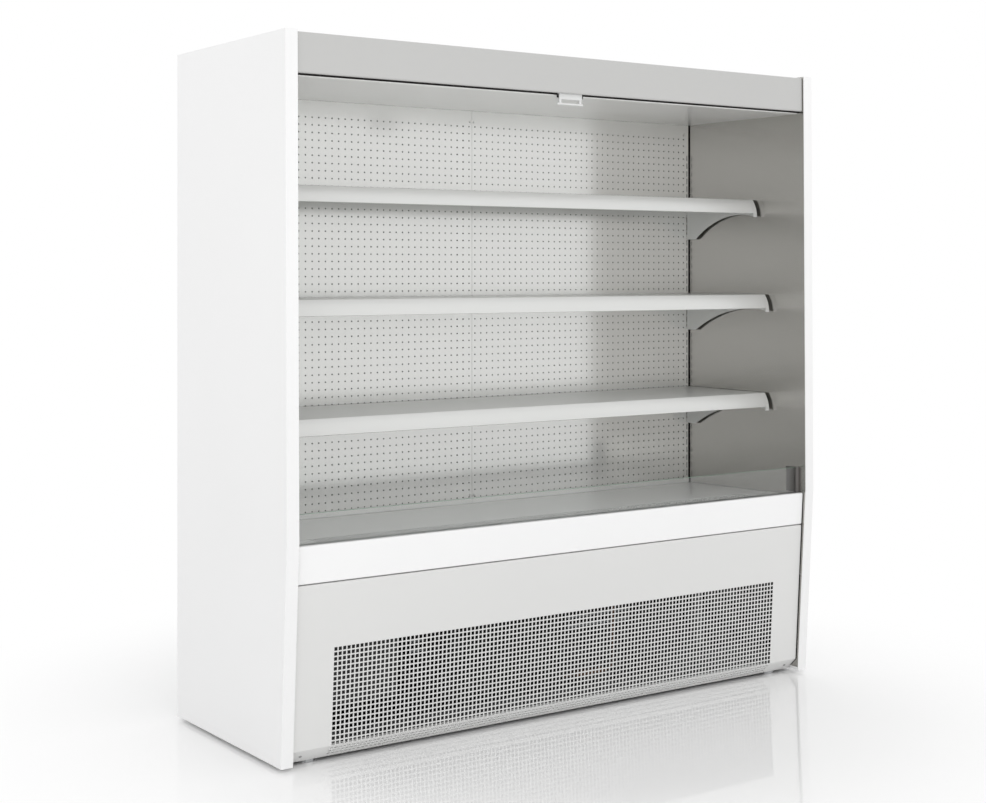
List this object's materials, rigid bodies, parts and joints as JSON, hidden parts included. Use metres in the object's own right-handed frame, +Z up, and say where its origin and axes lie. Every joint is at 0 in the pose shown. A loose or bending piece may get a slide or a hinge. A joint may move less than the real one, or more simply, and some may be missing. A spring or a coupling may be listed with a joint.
{
  "type": "open multideck display fridge",
  "caption": "Open-fronted chilled display cabinet with hooked-in shelves, perforated back, roll-down night blind, glass riser, perforated lower front and levelling feet.",
  "frame": {"origin": "on the floor under the middle of the cabinet, halfway between the back face and the end panels' foremost edge", "axes": "+X to the right seen from the front, along the cabinet; +Y from the open front to the back; +Z up"},
  "size_m": [1.955, 0.6884, 1.97],
  "materials": {
    "white_side": "powder-coated white, satin",
    "stainless": "fine-ground stainless steel",
    "grey_liner": "pale grey coated sheet over foam, satin",
    "galvanized": "galvanized sheet",
    "black_steel": "black painted steel, satin",
    "black_plastic": "black moulded plastic",
    "back_grey": "pale grey powder coat, satin",
    "light_grey": "pale grey powder coat, satin",
    "light_plastic": "pale grey moulded plastic",
    "screw_steel": "zinc-plated screw",
    "aluminium": "satin anodized aluminium",
    "glass": "clear toughened glass",
    "grey_plastic": "mid-grey moulded plastic",
    "white_bumper": "white powder coat, satin",
    "coil_fins": "bare aluminium fins",
    "motor_grey": "dark grey painted motor",
    "compressor_black": "black painted steel shell",
    "copper": "copper tube",
    "box_plastic": "grey moulded box",
    "blind_fabric": "woven grey blind cloth",
    "fan_plastic": "black moulded fan",
    "foot_steel": "zinc-plated steel"
  },
  "bodies": {
    "cabinet": {"end_panel_left": "white_side", "end_panel_right": "white_side", "side_linings": "stainless", "rear_wall": "grey_liner", "roof_panel": "galvanized", "tub": "grey_liner", "base_frame": "black_steel", "machine_tray": "galvanized", "rear_cover": "galvanized", "cable_gland": "black_plastic", "back_panel_left": "back_grey", "back_panel_right": "back_grey", "back_panel_screws": "screw_steel", "centre_post": "back_grey", "uprights": "back_grey", "ceiling_panel": "light_grey", "air_outlet": "light_plastic", "fascia_panel": "light_grey", "blind_side_plates": "galvanized", "brackets_top": "light_grey", "brackets_middle": "light_grey", "brackets_bottom": "light_grey", "deck_bearers": "galvanized", "return_air_grille": "light_grey", "glass_ledge": "aluminium", "front_glass": "glass", "glass_end_clips": "grey_plastic", "bumper": "white_bumper", "lower_front_panel": "light_grey", "lower_front_backing": "light_grey", "toe_screws": "screw_steel", "evaporator_coil": "coil_fins", "evaporator_fan_plate": "galvanized", "evaporator_fan_motors": "motor_grey", "condenser_coil": "coil_fins", "condenser_shroud": "black_steel", "condenser_fan_motor": "motor_grey", "compressor": "compressor_black", "refrigerant_pipes": "copper", "drain_pipe": "grey_plastic", "drip_tray": "galvanized", "control_box": "box_plastic"},
    "blind_reel": {"blind_roller": "aluminium", "blind_cloth_roll": "blind_fabric"},
    "blind_bar": {"blind_bottom_bar": "aluminium", "blind_handle": "grey_plastic", "blind_cloth": "blind_fabric"},
    "shelf_top": {"shelf_top": "light_grey"},
    "shelf_middle": {"shelf_middle": "light_grey"},
    "shelf_bottom": {"shelf_bottom": "light_grey"},
    "deck": {"deck_panel": "light_grey"},
    "fan_left": {"evaporator_fan_left": "fan_plastic"},
    "fan_middle": {"evaporator_fan_middle": "fan_plastic"},
    "fan_right": {"evaporator_fan_right": "fan_plastic"},
    "condenser_fan": {"condenser_fan_rotor": "fan_plastic"},
    "foot_front_left": {"foot_front_left": "foot_steel"},
    "foot_front_right": {"foot_front_right": "foot_steel"},
    "foot_rear_left": {"foot_rear_left": "foot_steel"},
    "foot_rear_right": {"foot_rear_right": "foot_steel"}
  },
  "joints": [
    {"name": "blind_pull", "type": "slide", "parent": "cabinet", "child": "blind_bar", "axis": [0, 0, -1], "range_m": [0, 1.12], "stiffness_N_per_m": 10, "springref_m": -2, "deforming": ["blind_cloth"]},
    {"name": "blind_roller_spin", "type": "hinge", "parent": "cabinet", "child": "blind_reel", "pos_m": [0, -0.28775, 1.925], "axis": [1, 0, 0], "range_deg": [0, 2680]},
    {"name": "deck_lift", "type": "slide", "parent": "cabinet", "child": "deck", "axis": [0, 0, 1], "range_m": [0, 0.12]},
    {"name": "shelf_top_lift", "type": "slide", "parent": "cabinet", "child": "shelf_top", "axis": [0, 0, 1], "range_m": [0, 0.03]},
    {"name": "shelf_middle_lift", "type": "slide", "parent": "cabinet", "child": "shelf_middle", "axis": [0, 0, 1], "range_m": [0, 0.03]},
    {"name": "shelf_bottom_lift", "type": "slide", "parent": "cabinet", "child": "shelf_bottom", "axis": [0, 0, 1], "range_m": [0, 0.03]},
    {"name": "fan_left_spin", "type": "hinge", "parent": "cabinet", "child": "fan_left", "pos_m": [-0.5, -0.08475, 0.464], "axis": [0, 1, 0], "continuous": true},
    {"name": "fan_middle_spin", "type": "hinge", "parent": "cabinet", "child": "fan_middle", "pos_m": [0, -0.08475, 0.464], "axis": [0, 1, 0], "continuous": true},
    {"name": "fan_right_spin", "type": "hinge", "parent": "cabinet", "child": "fan_right", "pos_m": [0.5, -0.08475, 0.464], "axis": [0, 1, 0], "continuous": true},
    {"name": "condenser_fan_spin", "type": "hinge", "parent": "cabinet", "child": "condenser_fan", "pos_m": [-0.19, -0.11775, 0.1925], "axis": [0, 1, 0], "continuous": true},
    {"name": "foot_front_left_screw", "type": "slide", "parent": "cabinet", "child": "foot_front_left", "axis": [0, 0, -1], "range_m": [0, 0.02]},
    {"name": "foot_front_right_screw", "type": "slide", "parent": "cabinet", "child": "foot_front_right", "axis": [0, 0, -1], "range_m": [0, 0.02]},
    {"name": "foot_rear_left_screw", "type": "slide", "parent": "cabinet", "child": "foot_rear_left", "axis": [0, 0, -1], "range_m": [0, 0.02]},
    {"name": "foot_rear_right_screw", "type": "slide", "parent": "cabinet", "child": "foot_rear_right", "axis": [0, 0, -1], "range_m": [0, 0.02]}
  ],
  "couplings": [
    {"joint": "blind_roller_spin", "follows": "blind_pull", "rad_per_m": 41.667}
  ]
}
